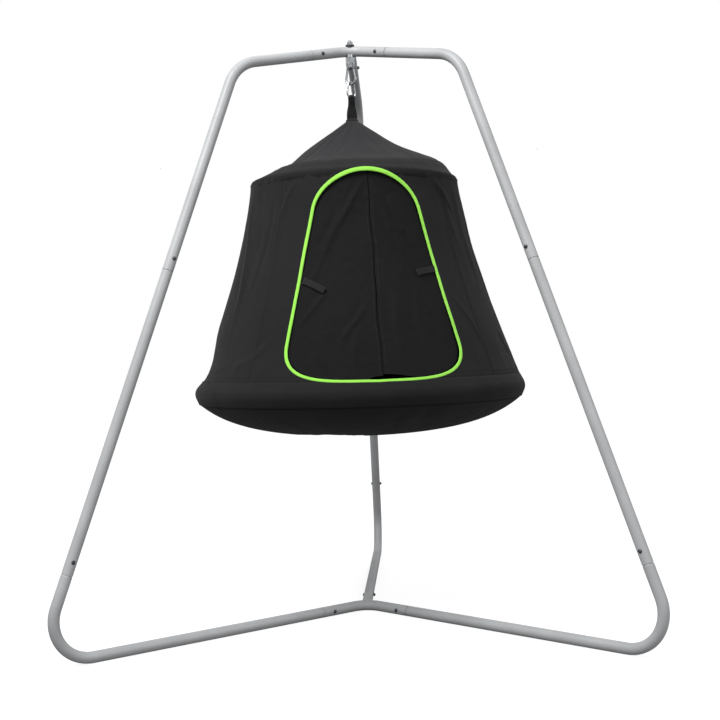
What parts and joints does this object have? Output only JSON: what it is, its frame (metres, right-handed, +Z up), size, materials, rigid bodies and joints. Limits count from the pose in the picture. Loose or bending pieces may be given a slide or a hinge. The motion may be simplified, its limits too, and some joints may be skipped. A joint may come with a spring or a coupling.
{
  "type": "hanging pod swing on a stand",
  "caption": "Free-standing three-legged tube stand with a cloth pod swing hung from a swivel and snap hooks, with a curtained doorway.",
  "frame": {"origin": "on the floor, under the line the pod hangs on", "axes": "+Z up, +X to the right, the doorway faces mostly -Y, the rear leg runs along +Y"},
  "size_m": [1.9221, 2.3944, 1.9944],
  "materials": {
    "stand_paint": "light grey powder coat, satin",
    "zinc_steel": "bright zinc plate",
    "saddle_rubber": "black moulded rubber",
    "hoop_paint": "black paint",
    "rod_fibreglass": "pultruded glass fibre rod",
    "pod_cloth": "charcoal woven nylon",
    "flap_cloth": "thin black nylon",
    "webbing": "black woven webbing",
    "lime_piping": "lime green woven tape"
  },
  "bodies": {
    "stand": {"top_hub": "stand_paint", "bottom_hub": "stand_paint", "upper_leg_tube_left": "stand_paint", "upper_leg_tube_right": "stand_paint", "upper_leg_tube_rear": "stand_paint", "middle_leg_tube_left": "stand_paint", "middle_leg_tube_right": "stand_paint", "middle_leg_tube_rear": "stand_paint", "lower_leg_tube_left": "stand_paint", "lower_leg_tube_right": "stand_paint", "lower_leg_tube_rear": "stand_paint", "frame_bolts": "zinc_steel", "frame_nuts": "zinc_steel", "top_saddle": "saddle_rubber", "bottom_saddle": "zinc_steel", "hanger_washer": "zinc_steel", "hanger_nut": "zinc_steel", "hanger_bolt": "zinc_steel"},
    "swivel": {"swivel_yoke": "zinc_steel", "yoke_pin": "zinc_steel", "yoke_pin_nut": "zinc_steel"},
    "upper_hook": {"upper_snap_hook": "zinc_steel", "upper_snap_hook_gate_pin": "zinc_steel"},
    "upper_gate": {"upper_snap_hook_gate": "zinc_steel"},
    "lower_hook": {"lower_snap_hook": "zinc_steel", "lower_snap_hook_gate_pin": "zinc_steel"},
    "lower_gate": {"lower_snap_hook_gate": "zinc_steel"},
    "pod": {"hanging_loop": "webbing", "roof_tip_patch": "webbing", "roof": "pod_cloth", "shoulder_welt": "pod_cloth", "upper_hoop_rod": "rod_fibreglass", "wall_front_left": "pod_cloth", "wall_front_right": "pod_cloth", "wall_right": "pod_cloth", "wall_back": "pod_cloth", "wall_left": "pod_cloth", "door_piping": "lime_piping", "load_straps": "webbing", "hoop_sleeve": "pod_cloth", "lower_hoop_tubes": "hoop_paint", "bowl_floor": "pod_cloth"},
    "flap_left": {"door_flap_left": "flap_cloth", "tie_tab_left": "webbing"},
    "flap_right": {"door_flap_right": "flap_cloth", "tie_tab_right": "webbing"}
  },
  "joints": [
    {"name": "swivel_spin", "type": "hinge", "parent": "stand", "child": "swivel", "pos_m": [0, 0, 1.93231], "axis": [0, 0, 1], "continuous": true},
    {"name": "hook_sway", "type": "hinge", "parent": "swivel", "child": "upper_hook", "pos_m": [0, 0, 1.90581], "axis": [0, 1, 0], "range_deg": [-9, 9]},
    {"name": "link_sway", "type": "hinge", "parent": "upper_hook", "child": "lower_hook", "pos_m": [0, 0, 1.84189], "axis": [0.9063, -0.4226, 0], "range_deg": [-9, 9]},
    {"name": "pod_rock", "type": "hinge", "parent": "lower_hook", "child": "pod", "pos_m": [0, 0, 1.79497], "axis": [0.8192, 0.5736, 0], "range_deg": [-2, 2]},
    {"name": "upper_gate_open", "type": "hinge", "parent": "upper_hook", "child": "upper_gate", "pos_m": [0.01488, -0.00694, 1.87095], "axis": [-0.4226, -0.9063, 0], "range_deg": [0, 12], "stiffness_Nm_per_rad": 0.05, "springref_deg": -11.46},
    {"name": "lower_gate_open", "type": "hinge", "parent": "lower_hook", "child": "lower_gate", "pos_m": [0.01225, 0.00858, 1.81893], "axis": [0.5736, -0.8192, 0], "range_deg": [0, 12], "stiffness_Nm_per_rad": 0.03, "springref_deg": -11.46},
    {"name": "flap_left_open", "type": "hinge", "parent": "pod", "child": "flap_left", "pos_m": [-0.18853, -0.48449, 0.934], "axis": [-0.1836, -0.246, -0.9517], "range_deg": [0, 75]},
    {"name": "flap_right_open", "type": "hinge", "parent": "pod", "child": "flap_right", "pos_m": [0.32902, -0.40252, 0.934], "axis": [-0.2506, 0.1772, 0.9517], "range_deg": [0, 75]}
  ]
}
